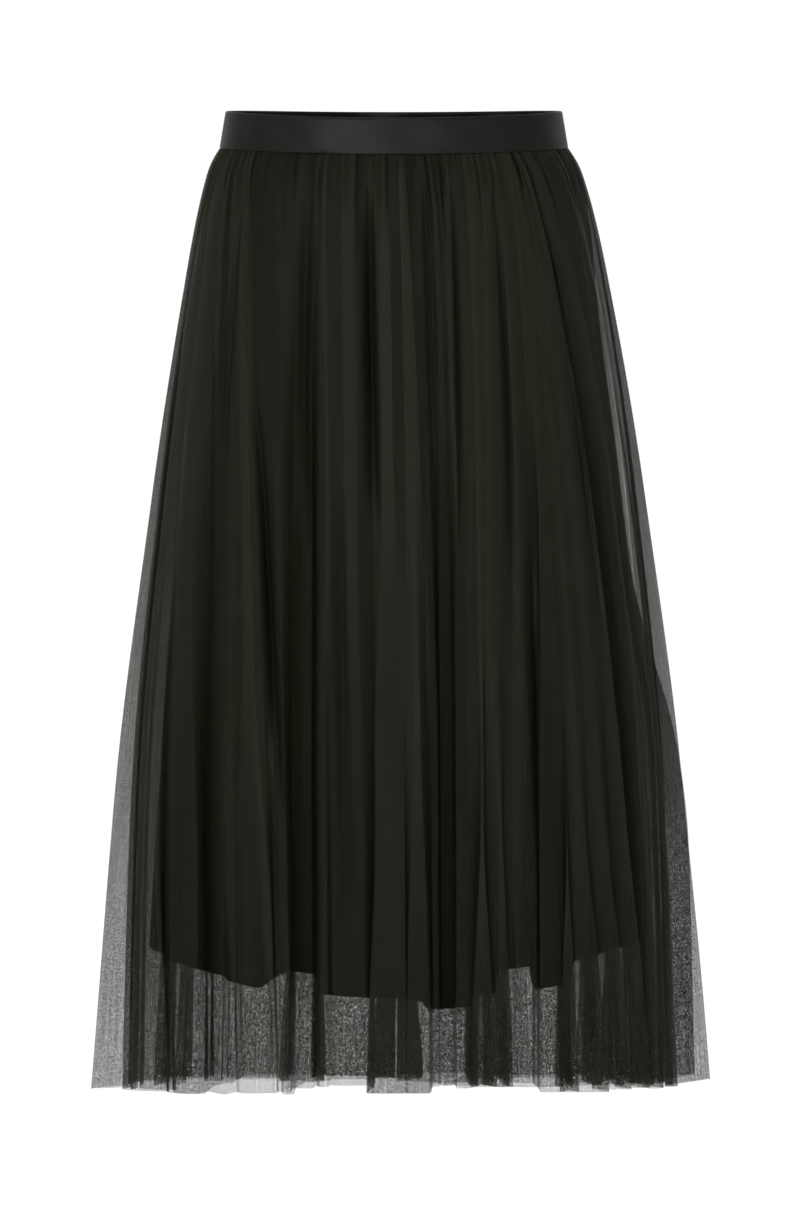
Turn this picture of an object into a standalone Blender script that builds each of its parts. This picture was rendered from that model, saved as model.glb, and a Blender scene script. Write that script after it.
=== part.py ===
"""Pull-on midi skirt: a satin waistband, two gathered layers of tulle and a shorter opaque lining.

Every layer is a front and a back panel, sewn at the sides and into the band. A panel is a thin wall through
level sections. Each section is a half ellipse with the valleys between its flutes pressed into it, so the
layers carry the same flutes and nest inside each other without touching. A side seam runs down a flute's
crest, and the outer layer's flute there stands out past the others.

+Z is up, the front faces -Y and the origin is the middle of the waistband. Lengths are in metres.
"""

import math
from collections import namedtuple

import bmesh
import bpy

# The waistband: a stiff, satin-faced band, a little wider at its lower edge.
BAND_HEIGHT = 0.030
BAND_WALL = 0.0025
BAND_TOP = (0.1380, 0.0940)  # half width and half depth of the upper edge
BAND_BOTTOM = (0.1430, 0.0980)
BAND_SAG = 0.003  # how far the band's front and back hang below its sides
BAND_COLUMNS = 28
BAND_ROWS = 2

# Cloth.
CLOTH_WALL = 0.0010
SEAM_GAP = 0.0006  # leaves 0.3 mm above the flaring upper edges of the cloth
SIDE_SEAM_GAP = 0.0010
CLOTH_TOP = -BAND_HEIGHT / 2 - SEAM_GAP

# A valley between two flutes: its angle from the middle of the panel, in degrees, at the seam and at the
# tulle's hem, and how far it is pressed in at the hem.
Valley = namedtuple("Valley", "seam_angle hem_angle depth")
FRONT_VALLEYS = (
    Valley(-80, -79, 0.011),
    Valley(-70, -62, 0.012),
    Valley(-57, -38, 0.016),
    Valley(-44, -22, 0.018),
    Valley(-25, -13, 0.016),
    Valley(-13, -6, 0.018),
    Valley(-5, 6, 0.019),
    Valley(10, 12, 0.013),
    Valley(20, 20, 0.016),
    Valley(32, 28, 0.018),
    Valley(44, 41, 0.018),
    Valley(55, 57, 0.014),
    Valley(70, 69, 0.012),
    Valley(80, 80, 0.011),
)
BACK_VALLEYS = (
    Valley(-80, -80, 0.011),
    Valley(-69, -67, 0.012),
    Valley(-57, -52, 0.015),
    Valley(-45, -38, 0.017),
    Valley(-33, -26, 0.018),
    Valley(-20, -15, 0.015),
    Valley(-9, -3, 0.019),
    Valley(3, 8, 0.014),
    Valley(16, 17, 0.018),
    Valley(28, 31, 0.019),
    Valley(41, 42, 0.016),
    Valley(54, 57, 0.015),
    Valley(67, 70, 0.012),
    Valley(80, 79, 0.011),
)
SIDE_ANGLE = 90.0
FLUTE_COLUMNS = 4
SEAM_FOLD_SHARE = 0.05  # of a valley's depth at the hem, where the gathers are sewn down
FOLD_GROWTH = 0.75  # below 1 the valleys deepen soonest near the seam
SIDE_FLUTE_GROWTH = 2.0  # above 1 the side flutes stand out mostly near the hem

# A section of a layer: its share of the way down the panel, and the half width and half depth of its
# outline over the flutes.
Section = namedtuple("Section", "share half_width half_depth")
OUTER_SECTIONS = (
    Section(0.00, 0.1425, 0.0975),
    Section(0.03, 0.1550, 0.1090),
    Section(0.16, 0.1765, 0.1260),
    Section(0.37, 0.1990, 0.1420),
    Section(0.69, 0.2220, 0.1600),
    Section(1.00, 0.2300, 0.1720),
)
INNER_SECTIONS = (
    Section(0.00, 0.1410, 0.0960),
    Section(0.03, 0.1520, 0.1050),
    Section(0.16, 0.1715, 0.1170),
    Section(0.37, 0.1940, 0.1290),
    Section(0.69, 0.2165, 0.1420),
    Section(1.00, 0.2225, 0.1510),
)
LINING_SECTIONS = (
    Section(0.00, 0.1395, 0.0945),
    Section(0.05, 0.1475, 0.1005),
    Section(0.25, 0.1640, 0.1110),
    Section(0.60, 0.1870, 0.1210),
    Section(1.00, 0.2045, 0.1270),
)

# A layer: its length below the band at the side seams and at the middle of its panels, the share of the
# valleys' depth that it takes, and how far the flute at each side seam stands out past the others.
Layer = namedtuple("Layer", "name sections side_length middle_length fold_share side_flute")
LAYERS = (
    Layer("tulle_outer", OUTER_SECTIONS, 0.771, 0.763, 1.00, 0.0225),
    Layer("tulle_inner", INNER_SECTIONS, 0.761, 0.752, 0.75, 0.0000),
    Layer("lining", LINING_SECTIONS, 0.653, 0.686, 0.50, 0.0000),
)
FULL_LENGTH = 0.771  # how far below the band the valleys reach the depth in their table

SATIN_BLACK = ((0.022, 0.022, 0.023, 1.0), 0.38)
TULLE_BLACK = ((0.016, 0.016, 0.014, 1.0), 0.80)
LINING_BLACK = ((0.010, 0.010, 0.008, 1.0), 0.75)


def clear_scene():
    """Remove every object that is already in the scene."""
    for item in list(bpy.data.objects):
        bpy.data.objects.remove(item, do_unlink=True)


def cloth_material(name, finish):
    """Make a plain woven finish from its colour and roughness."""
    colour, roughness = finish
    material = bpy.data.materials.new(name)
    material.use_nodes = True
    shader = material.node_tree.nodes["Principled BSDF"]
    shader.inputs["Base Color"].default_value = colour
    shader.inputs["Roughness"].default_value = roughness
    shader.inputs["Metallic"].default_value = 0.0
    return material


def mix(start, end, share):
    """Go from start to end by share."""
    return start + (end - start) * share


def sag(angle):
    """Return how far the band, and the cloth sewn to it, hangs below its height at the sides."""
    return BAND_SAG * math.cos(angle) ** 2


def half_ellipse(half_width, half_depth, angle, inset):
    """Return a point of the front half of an ellipse, moved in by inset along the ellipse's normal."""
    across, forward = math.sin(angle), math.cos(angle)
    normal = (half_depth * across, half_width * forward)
    size = math.hypot(*normal)
    x = half_width * across - inset * normal[0] / size
    y = half_depth * forward - inset * normal[1] / size
    return x, -y


def valley_angles(valleys, seam_to_hem):
    """List the valleys' angles at one height, with one more at each end, mirrored in the side seam."""
    angles = [mix(valley.seam_angle, valley.hem_angle, seam_to_hem) for valley in valleys]
    return [-2 * SIDE_ANGLE - angles[0], *angles, 2 * SIDE_ANGLE - angles[-1]]


def fold_at(layer, valleys, place, seam_to_hem):
    """Return a column's angle in radians and how far it is pressed in.

    place counts valleys from 1 along the panel, with the side seams half way to the first valley before and
    after it. A negative inset stands out past the section's outline.
    """
    before = min(int(place), len(valleys))
    angles = valley_angles(valleys, seam_to_hem)
    angle = mix(angles[before], angles[before + 1], place - before)
    nearest = min(max(round(place), 1), len(valleys))
    press = (1 + math.cos(2 * math.pi * place)) / 2
    growth = seam_to_hem**FOLD_GROWTH
    inset = valleys[nearest - 1].depth * press * mix(SEAM_FOLD_SHARE, layer.fold_share, growth)
    if place < 1 or place > len(valleys):
        inset -= layer.side_flute * (1 - press) * seam_to_hem**SIDE_FLUTE_GROWTH
    return math.radians(angle), inset


def layer_rows(layer, valleys):
    """Work out the middle surface of a layer's front panel, a row of points for each section."""
    places = [0.5 + step / FLUTE_COLUMNS for step in range(len(valleys) * FLUTE_COLUMNS + 1)]
    rows = []
    for section in layer.sections:
        row = []
        for place in places:
            angle, inset = fold_at(layer, valleys, place, section.share * layer.side_length / FULL_LENGTH)
            x, y = half_ellipse(section.half_width, section.half_depth, angle, inset)
            length = mix(layer.side_length, layer.middle_length, math.cos(angle) ** 2)
            row.append((x, y, CLOTH_TOP - sag(angle) - section.share * length))
        rows.append(row)
    return rows


def band_rows():
    """Work out the middle surface of the band's front half, from its upper edge to its lower one."""
    rows = []
    for step in range(BAND_ROWS + 1):
        down = step / BAND_ROWS
        half_width = mix(BAND_TOP[0], BAND_BOTTOM[0], down) - BAND_WALL / 2
        half_depth = mix(BAND_TOP[1], BAND_BOTTOM[1], down) - BAND_WALL / 2
        row = []
        for column in range(BAND_COLUMNS + 1):
            angle = math.pi * (column / BAND_COLUMNS - 0.5)
            x, y = half_ellipse(half_width, half_depth, angle, 0.0)
            row.append((x, y, BAND_HEIGHT / 2 - sag(angle) - down * BAND_HEIGHT))
        rows.append(row)
    return rows


def panel(name, rows, wall, material, is_back):
    """Build one panel as a wall about its rows of points, which describe it as a front panel."""
    mesh = bpy.data.meshes.new(name)
    shape = bmesh.new()
    turn = -1 if is_back else 1
    seam_y = SIDE_SEAM_GAP / 2
    grid = [[shape.verts.new((turn * x, turn * (y - seam_y), z)) for x, y, z in row] for row in rows]
    for upper, lower in zip(grid, grid[1:]):
        for i in range(len(upper) - 1):
            shape.faces.new((upper[i], lower[i], lower[i + 1], upper[i + 1]))
    shape.to_mesh(mesh)
    shape.free()
    mesh.shade_smooth()
    mesh.materials.append(material)
    item = bpy.data.objects.new(name, mesh)
    bpy.context.collection.objects.link(item)
    solid = item.modifiers.new("Wall", "SOLIDIFY")
    solid.thickness = wall
    solid.offset = 0.0
    solid.use_even_offset = True


def build_band():
    """Build the waistband, sewn from a front and a back strip."""
    satin = cloth_material("satin", SATIN_BLACK)
    for side in ("front", "back"):
        panel(f"waistband_{side}", band_rows(), BAND_WALL, satin, side == "back")


def build_layer(layer, material):
    """Build a layer's front and back panels."""
    for side, valleys in (("front", FRONT_VALLEYS), ("back", BACK_VALLEYS)):
        panel(f"{layer.name}_{side}", layer_rows(layer, valleys), CLOTH_WALL, material, side == "back")


def build_skirt():
    """Build the whole skirt."""
    clear_scene()
    build_band()
    tulle = cloth_material("tulle", TULLE_BLACK)
    lining = cloth_material("lining", LINING_BLACK)
    for layer in LAYERS:
        build_layer(layer, lining if layer.name == "lining" else tulle)


build_skirt()
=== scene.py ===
"""Looks of a pull-on midi skirt: two gathered layers of black tulle over a shorter lining, on a satin band.

Every layer is a front and a back panel. A panel is a thin shell whose level sections are half ellipses with
the flutes laid into them, and a table for each panel says where its flutes lie. The seam's small gathers fade
out below the band. +Z is up, the front faces -Y, and lengths are in metres.
"""

from __future__ import annotations

import logging
import math
from collections.abc import Sequence
from dataclasses import dataclass, field, replace
from enum import Enum

import bpy
import numpy as np
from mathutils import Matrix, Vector

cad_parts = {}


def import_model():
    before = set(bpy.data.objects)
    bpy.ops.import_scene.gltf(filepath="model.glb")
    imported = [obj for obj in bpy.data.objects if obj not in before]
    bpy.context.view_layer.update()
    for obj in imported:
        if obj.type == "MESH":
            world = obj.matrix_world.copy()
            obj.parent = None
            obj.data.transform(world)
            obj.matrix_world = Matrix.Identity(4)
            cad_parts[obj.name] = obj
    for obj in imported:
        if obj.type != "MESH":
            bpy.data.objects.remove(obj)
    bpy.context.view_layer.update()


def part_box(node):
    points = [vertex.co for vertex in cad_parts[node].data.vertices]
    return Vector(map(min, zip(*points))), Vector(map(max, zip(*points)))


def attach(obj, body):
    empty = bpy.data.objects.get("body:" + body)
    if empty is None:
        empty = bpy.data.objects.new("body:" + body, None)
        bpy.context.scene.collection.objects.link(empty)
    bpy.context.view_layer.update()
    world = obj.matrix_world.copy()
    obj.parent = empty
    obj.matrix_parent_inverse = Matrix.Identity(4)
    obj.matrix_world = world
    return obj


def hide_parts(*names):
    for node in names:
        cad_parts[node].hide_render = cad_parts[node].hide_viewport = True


LOG = logging.getLogger("tulle_skirt")
BODY = "root"
BAND_SAG = 0.003
CUT_GAP = 0.0005
Colour = tuple[float, float, float]
Tint = Colour | bpy.types.NodeSocket


class Side(Enum):
    """The half of the skirt that a panel makes, as the sign that turns the front's places into its own."""

    FRONT = 1
    BACK = -1

    def node(self, piece: str) -> str:
        """Return the frame's name for this side's panel of a piece."""
        return f"{piece}_{self.name.lower()}"


class Slot(Enum):
    """The record's finishes."""

    SATIN = "satin"
    TULLE = "tulle"
    LINING = "lining"


# ---------------------------------------------------------------------------------------------- shapes


def place(name: str, data: bpy.types.ID) -> bpy.types.Object:
    """Put an object in the scene, at the origin."""
    item = bpy.data.objects.new(name, data)
    bpy.context.collection.objects.link(item)
    return item


def lay_flat(mesh: bpy.types.Mesh, name: str, flat: np.ndarray) -> None:
    """Give a mesh a UV map, from the place of each of its points on the flat cloth."""
    corners = np.empty(len(mesh.loops), dtype=np.int64)
    mesh.loops.foreach_get("vertex_index", corners)
    mesh.uv_layers.new(name=name).data.foreach_set("uv", flat[corners].ravel())


def run_up(steps: np.ndarray) -> np.ndarray:
    """Add steps up along a line, from 0."""
    return np.concatenate([[0.0], np.cumsum(steps)])


def smooth_step(values: np.ndarray, end: float) -> np.ndarray:
    """Rise smoothly from 0 to 1 between 0 and end."""
    share = np.clip(values / end, 0.0, 1.0)
    return share * share * (3.0 - 2.0 * share)


@dataclass(frozen=True)
class Flare:
    """How a layer widens from the band to its hem, as shares of the growth, a row for each level."""

    shares: tuple[float, ...]
    widths: tuple[float, ...]
    depths: tuple[float, ...]
    top_slope: float = 1.4
    hem_slope: float = 0.8

    def _follow(self, growth: Sequence[float], share: np.ndarray) -> np.ndarray:
        """Run a curve through the rows that never overshoots them.

        Args:
            growth: The growth at each of the rows' levels.
            share: The levels wanted.

        Returns:
            The growth at each of those levels.
        """
        knots, values = np.array(self.shares), np.array(growth)
        steps = np.diff(values) / np.diff(knots)
        slopes = np.empty_like(values)
        slopes[1:-1] = 2 * steps[:-1] * steps[1:] / (steps[:-1] + steps[1:])
        slopes[0], slopes[-1] = self.top_slope * steps[0], self.hem_slope * steps[-1]
        row = np.clip(np.searchsorted(knots, share, side="right") - 1, 0, len(steps) - 1)
        width = np.diff(knots)[row]
        u = (share - knots[row]) / width
        start = (1 + 2 * u) * (1 - u) ** 2 * values[row] + u * (1 - u) ** 2 * width * slopes[row]
        end = u * u * (3 - 2 * u) * values[row + 1] + u * u * (u - 1) * width * slopes[row + 1]
        return start + end

    def width(self, share: np.ndarray) -> np.ndarray:
        """Return the share of the width's growth at each level."""
        return self._follow(self.widths, share)

    def depth(self, share: np.ndarray) -> np.ndarray:
        """Return the share of the depth's growth at each level."""
        return self._follow(self.depths, share)


TULLE_FLARE = Flare(
    shares=(0.00, 0.03, 0.16, 0.37, 0.69, 1.00),
    widths=(0.000, 0.140, 0.382, 0.648, 0.915, 1.000),
    depths=(0.000, 0.158, 0.382, 0.598, 0.838, 1.000),
)
LINING_FLARE = Flare(
    shares=(0.00, 0.05, 0.25, 0.60, 1.00),
    widths=(0.000, 0.123, 0.377, 0.731, 1.000),
    depths=(0.000, 0.185, 0.508, 0.815, 1.000),
)


@dataclass(frozen=True)
class Flute:
    """A flute and the valley on its -X side, as angles in degrees from the panel's middle.

    seam is the valley's angle at the band. valley, left and right are the angles at the hem of the valley and
    of the flute's two edges, and a flute whose edge lies past a valley is folded over it. depth is that of
    the valley at the hem, and start is the share of the way down where the fold begins. lift is how much the
    flute's hem is raised in the outer layer or the lining, and inner_lift in the inner layer. out is how far
    the flute stands out at the hem, below 0 for one sunk between its neighbours. The last row of a table is
    the valley next to the side seam.
    """

    seam: float
    valley: float
    left: float
    right: float
    depth: float
    start: float = 0.0
    lift: float = 0.0
    inner_lift: float = 0.0
    out: float = 0.0


@dataclass(frozen=True)
class Pleating:
    """The flutes of a panel, from -X to +X."""

    flutes: tuple[Flute, ...]

    def mirrored(self) -> Pleating:
        """Return the same flutes in the other direction."""
        flipped = []
        last = len(self.flutes) - 1
        for index in range(last, -1, -1):
            valley, crest = self.flutes[index], self.flutes[max(index - 1, 0)]
            turned = replace(crest, left=-crest.right, right=-crest.left)
            turned = replace(turned, seam=-valley.seam, valley=-valley.valley)
            flipped.append(replace(turned, depth=valley.depth, start=valley.start))
        return Pleating(tuple(flipped))

    def column(self, name: str) -> np.ndarray:
        """Return one of the table's columns."""
        return np.array([getattr(flute, name) for flute in self.flutes])


FRONT_FLUTES = Pleating(
    (
        Flute(-84.0, -84.0, -80.6, -73.1, 0.010, 0.00, 0.001, 0.003),
        Flute(-79.0, -77.0, -72.6, -54.9, 0.012, 0.20, 0.001, -0.002),
        Flute(-73.0, -59.5, -54.0, -45.6, 0.015, 0.45, 0.000, -0.005),
        Flute(-66.4, -43.8, -38.8, -37.8, 0.020, 0.20, -0.001, 0.004, -0.004),
        Flute(-58.0, -35.2, -33.9, -25.9, 0.009, 0.50, 0.000, 0.011),
        Flute(-52.0, -25.5, -25.2, -22.7, 0.012, 0.55, 0.001, -0.005),
        Flute(-33.0, -22.0, -19.8, -17.8, 0.018, 0.12, 0.003, 0.004, -0.018),
        Flute(-25.5, -17.0, -16.2, -14.6, 0.021, 0.08, 0.005, 0.006),
        Flute(-21.5, -14.0, -13.3, -6.9, 0.007, 0.45, 0.006, 0.007, -0.003),
        Flute(-8.6, -4.9, -6.6, 1.5, 0.014, 0.30, 0.000, -0.0045),
        Flute(1.0, 1.65, 1.8, 6.4, 0.010, 0.60, 0.000, -0.0045),
        Flute(3.0, 6.8, 7.2, 8.3, 0.014, 0.35, 0.005, 0.003, -0.008),
        Flute(9.5, 8.5, 8.8, 11.3, 0.020, 0.22, 0.006, 0.001, -0.017),
        Flute(14.5, 11.6, 11.9, 14.3, 0.017, 0.25, 0.004, 0.002),
        Flute(22.0, 16.8, 14.6, 20.5, 0.012, 0.60, 0.005, 0.002),
        Flute(27.0, 17.4, 20.9, 24.0, 0.012, 0.50, 0.005, 0.001),
        Flute(32.0, 21.8, 24.4, 29.3, 0.009, 0.50, 0.005, 0.004),
        Flute(38.0, 29.8, 30.3, 34.5, 0.016, 0.30, 0.001, 0.001),
        Flute(39.8, 37.5, 34.8, 39.9, 0.011, 0.60, 0.001, 0.001),
        Flute(41.0, 37.6, 40.3, 48.5, 0.011, 0.55, 0.001, 0.002),
        Flute(42.2, 44.0, 48.9, 56.0, 0.014, 0.60, 0.003, 0.002),
        Flute(43.6, 51.5, 56.4, 63.5, 0.013, 0.55, 0.004, 0.003),
        Flute(45.5, 59.0, 64.0, 70.7, 0.017, 0.00, 0.003, 0.002),
        Flute(56.0, 66.5, 71.2, 76.4, 0.013, 0.35, 0.004, 0.003, 0.006),
        Flute(69.0, 83.0, 90.0, 90.0, 0.010),
    )
)
BACK_FLUTES = Pleating(
    (
        Flute(-84.0, -84.0, -79.0, -72.0, 0.010, 0.00, 0.001, 0.002),
        Flute(-77.0, -75.5, -71.5, -63.5, 0.012, 0.30, 0.003, 0.001),
        Flute(-68.0, -67.5, -63.0, -56.0, 0.017, 0.00, 0.000, 0.002),
        Flute(-59.0, -60.0, -55.5, -48.0, 0.014, 0.45, 0.004, -0.001),
        Flute(-50.0, -52.5, -47.5, -41.0, 0.018, 0.00, 0.001, 0.003),
        Flute(-42.0, -44.5, -40.5, -36.5, 0.013, 0.50, -0.001, 0.000),
        Flute(-35.0, -38.5, -36.0, -23.5, 0.019, 0.05, 0.003, 0.002),
        Flute(-27.0, -20.5, -23.0, -17.0, 0.013, 0.50, 0.001, 0.000),
        Flute(-21.0, -14.0, -16.5, -5.5, 0.018, 0.00, -0.001, 0.003),
        Flute(-12.0, 0.5, -5.2, 6.2, 0.015, 0.35, 0.002, 0.000),
        Flute(-3.0, 0.8, 6.5, 15.0, 0.020, 0.00, 0.004, 0.001),
        Flute(8.0, 18.5, 15.5, 25.5, 0.013, 0.50, 0.000, 0.002),
        Flute(17.0, 23.0, 26.0, 38.6, 0.019, 0.00, 0.002, 0.000),
        Flute(29.0, 40.0, 39.4, 44.0, 0.014, 0.45, 0.001, 0.003),
        Flute(40.0, 45.2, 43.2, 53.5, 0.017, 0.10, 0.003, 0.001),
        Flute(50.0, 51.0, 51.5, 61.5, 0.015, 0.40, -0.001, 0.002),
        Flute(60.0, 58.2, 58.6, 71.0, 0.016, 0.00, 0.002, 0.000),
        Flute(76.0, 83.0, 90.0, 90.0, 0.010),
    )
)
LINING_FLUTES = Pleating(
    (
        Flute(-80.0, -74.0, -68.0, -56.0, 0.006, 0.00, -0.003),
        Flute(-64.0, -45.0, -42.0, -33.0, 0.015, 0.10, -0.005),
        Flute(-50.0, -29.0, -25.0, -19.0, 0.012, 0.00, 0.013),
        Flute(-28.0, -18.6, -17.4, 0.0, 0.013, 0.00, -0.002),
        Flute(3.0, 5.4, 7.0, 16.6, 0.013, 0.20, -0.012, 0.0, -0.010),
        Flute(19.0, 17.2, 18.0, 22.6, 0.012, 0.20, -0.003),
        Flute(28.0, 22.8, 23.4, 31.0, 0.007, 0.10, 0.014),
        Flute(38.0, 31.6, 33.0, 43.0, 0.011, 0.00, -0.006),
        Flute(48.0, 43.6, 44.6, 62.0, 0.009, 0.00, 0.010),
        Flute(72.0, 74.0, 90.0, 90.0, 0.006),
    )
)


@dataclass(frozen=True)
class Crease:
    """A crease laid between two levels and angles, with the angles in degrees.

    A crease whose end is past 1 is cut off by the hem. width is its half width in degrees, and bend is below
    1 where it turns aside early on its way down. It fades towards its ends by fade, and its side at greater
    angles is steeper by sharpness.
    """

    start: float
    end: float
    start_angle: float
    end_angle: float
    depth: float
    width: float
    bend: float = 1.0
    sharpness: float = 2.2
    fade: float = 0.8

    def field(self, share: np.ndarray, angles: np.ndarray) -> np.ndarray:
        """Return how far the crease moves points in.

        Args:
            share: The points' levels, from 0 at the band to 1 at the hem.
            angles: Their angles in degrees.

        Returns:
            The distances.
        """
        along = np.clip((share - self.start) / (self.end - self.start), 0.0, 1.0)
        middle = self.start_angle + (self.end_angle - self.start_angle) * along**self.bend
        across = (angles - middle) / self.width
        across = np.where(across > 0, across * self.sharpness, across)
        return self.depth * np.sin(math.pi * along) ** self.fade * np.exp(-(across**2))


FRONT_CREASES = (
    Crease(0.03, 0.40, -7.6, -5.3, 0.0120, 1.9),
    Crease(0.24, 0.72, -42.0, -25.0, 0.0140, 1.8, bend=0.5),
    Crease(0.03, 0.42, -26.5, -22.0, 0.0090, 2.4),
    Crease(0.26, 0.72, 35.8, 29.8, 0.0060, 1.1),
    Crease(0.02, 0.34, 9.0, 8.4, 0.0045, 0.9),
    Crease(0.02, 0.45, 17.5, 14.0, 0.0060, 0.9),
    Crease(0.05, 0.50, 31.0, 26.5, 0.0050, 1.1),
    Crease(0.03, 0.36, -52.0, -46.0, 0.0060, 2.0),
    Crease(0.10, 0.55, 49.0, 53.0, 0.0050, 1.6),
    Crease(0.35, 0.95, -13.6, -9.4, 0.0060, 1.6),
    Crease(0.76, 1.25, -32.0, -22.5, 0.0090, 1.3),
    Crease(0.74, 1.30, -63.5, -52.5, 0.0070, 1.5),
    Crease(0.78, 1.22, -39.5, -32.0, 0.0070, 1.0),
    Crease(0.80, 1.30, 24.0, 26.5, 0.0060, 0.9),
)
BACK_CREASES = (
    Crease(0.03, 0.45, -38.0, -34.0, 0.0110, 1.9),
    Crease(0.22, 0.75, -14.0, -9.0, 0.0120, 1.6, bend=0.6),
    Crease(0.02, 0.38, 4.0, 3.0, 0.0080, 1.5),
    Crease(0.10, 0.60, 27.0, 31.0, 0.0100, 1.8),
    Crease(0.04, 0.42, 51.0, 47.0, 0.0070, 1.4),
)


@dataclass(frozen=True)
class Gathers:
    """The small pleats that the seam draws into the cloth, each with a place, slant and length of its own.

    count is how many there are on a panel, height how far a pleat goes in, width its half width in degrees,
    reach how far down it runs as a share of the cloth, slant how many degrees it turns aside on the way, and
    start the share of its height at the seam itself, which grows to the whole of it over swell. shade is how
    much painted shade its fold gets, from 0 to 1, and one side of it is steeper, by sharpness. The spreads
    are the least and the most of a size, as shares of its usual value, and place_spread is how far a pleat
    strays from its even place, as a share of the spacing.
    """

    count: int
    height: float
    width: float
    reach: float
    slant: float
    start: float
    shade: float
    seed: int
    sharpness: float = 2.6
    swell: float = 0.04
    place_spread: float = 0.42
    width_spread: tuple[float, float] = (0.6, 1.5)
    length_spread: tuple[float, float] = (0.35, 1.65)
    height_spread: tuple[float, float] = (0.35, 1.25)

    def field(self, share: np.ndarray, seam_angle: np.ndarray) -> np.ndarray:
        """Return how far the pleats move points in.

        Args:
            share: The levels, as a column.
            seam_angle: The points' angles at the seam, as a row.

        Returns:
            The distances, as levels by columns.
        """
        maker = np.random.default_rng(self.seed)
        step = 180.0 / self.count
        strays = maker.uniform(-self.place_spread, self.place_spread, self.count)
        spots = -90.0 + step * (np.arange(self.count) + 0.5 + strays)
        widths = self.width * maker.uniform(*self.width_spread, self.count)
        lengths = self.reach * maker.uniform(*self.length_spread, self.count)
        slants = self.slant * maker.normal(size=self.count)
        heights = self.height * maker.uniform(*self.height_spread, self.count)
        turns = maker.choice((-1.0, 1.0), self.count)
        inset = np.zeros(np.broadcast_shapes(share.shape, seam_angle.shape))
        for spot, width, length, slant, height, turn in zip(spots, widths, lengths, slants, heights, turns):
            across = turn * (np.degrees(seam_angle) - spot - slant * share) / width
            across = np.where(across > 0, across * self.sharpness, across)
            inset = inset + height * np.exp(-(across**2) - (share / length) ** 2)
        return inset * (self.start + (1 - self.start) * smooth_step(share, self.swell))


# shade is the painted shade laid into each pleat's fold
FINE_GATHERS = Gathers(
    count=64, height=0.0030, width=0.62, reach=0.044, slant=14.0, start=0.6, shade=0.80, seed=3
)
BROAD_GATHERS = Gathers(
    count=28, height=0.0044, width=1.70, reach=0.075, slant=9.0, start=0.2, shade=0.30, seed=8
)


@dataclass(frozen=True)
class Layer:
    """A layer of the skirt: its flare, how it takes the flutes, and its cut.

    step_in is how far inside the band's face it is sewn. fold_share and gather_share are how much of the
    flutes and the gathers it takes. side_flute is how far the hem stands out at both side seams, and
    right_flute how much more at the front's +X one, from right_start down. right_tuck is how far the cloth
    is drawn in above that. grain turns the net on the front and back panels, in degrees. lift_column is the
    flutes' column for its hem, back_drop is how much longer the back is, and cut_top is the flat cloth's
    width at the seam. wall is its thickness, and 0 leaves it a single sheet.
    """

    piece: str
    slot: Slot
    flare: Flare
    step_in: float
    side_length: float
    middle_length: float
    fold_share: float
    side_flute: float
    right_flute: float
    right_start: float
    gather_share: float
    right_tuck: float
    grain: tuple[float, float]
    lift_column: str
    back_drop: float
    cut_top: float
    wall: float = 0.0
    rows: int = 104
    columns_per_edge: int = 12


@dataclass(frozen=True)
class BandForm:
    """The sizes that the layers take from the waistband's solid."""

    half_width: float
    half_depth: float
    bottom: float
    sag: float = BAND_SAG
    cut_gap: float = CUT_GAP

    @classmethod
    def from_frame(cls) -> BandForm:
        """Measure the band's front strip in the frame."""
        low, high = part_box(Side.FRONT.node("waistband"))
        return cls(high.x, -low.y - cls.cut_gap, low.z + cls.sag)


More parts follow.
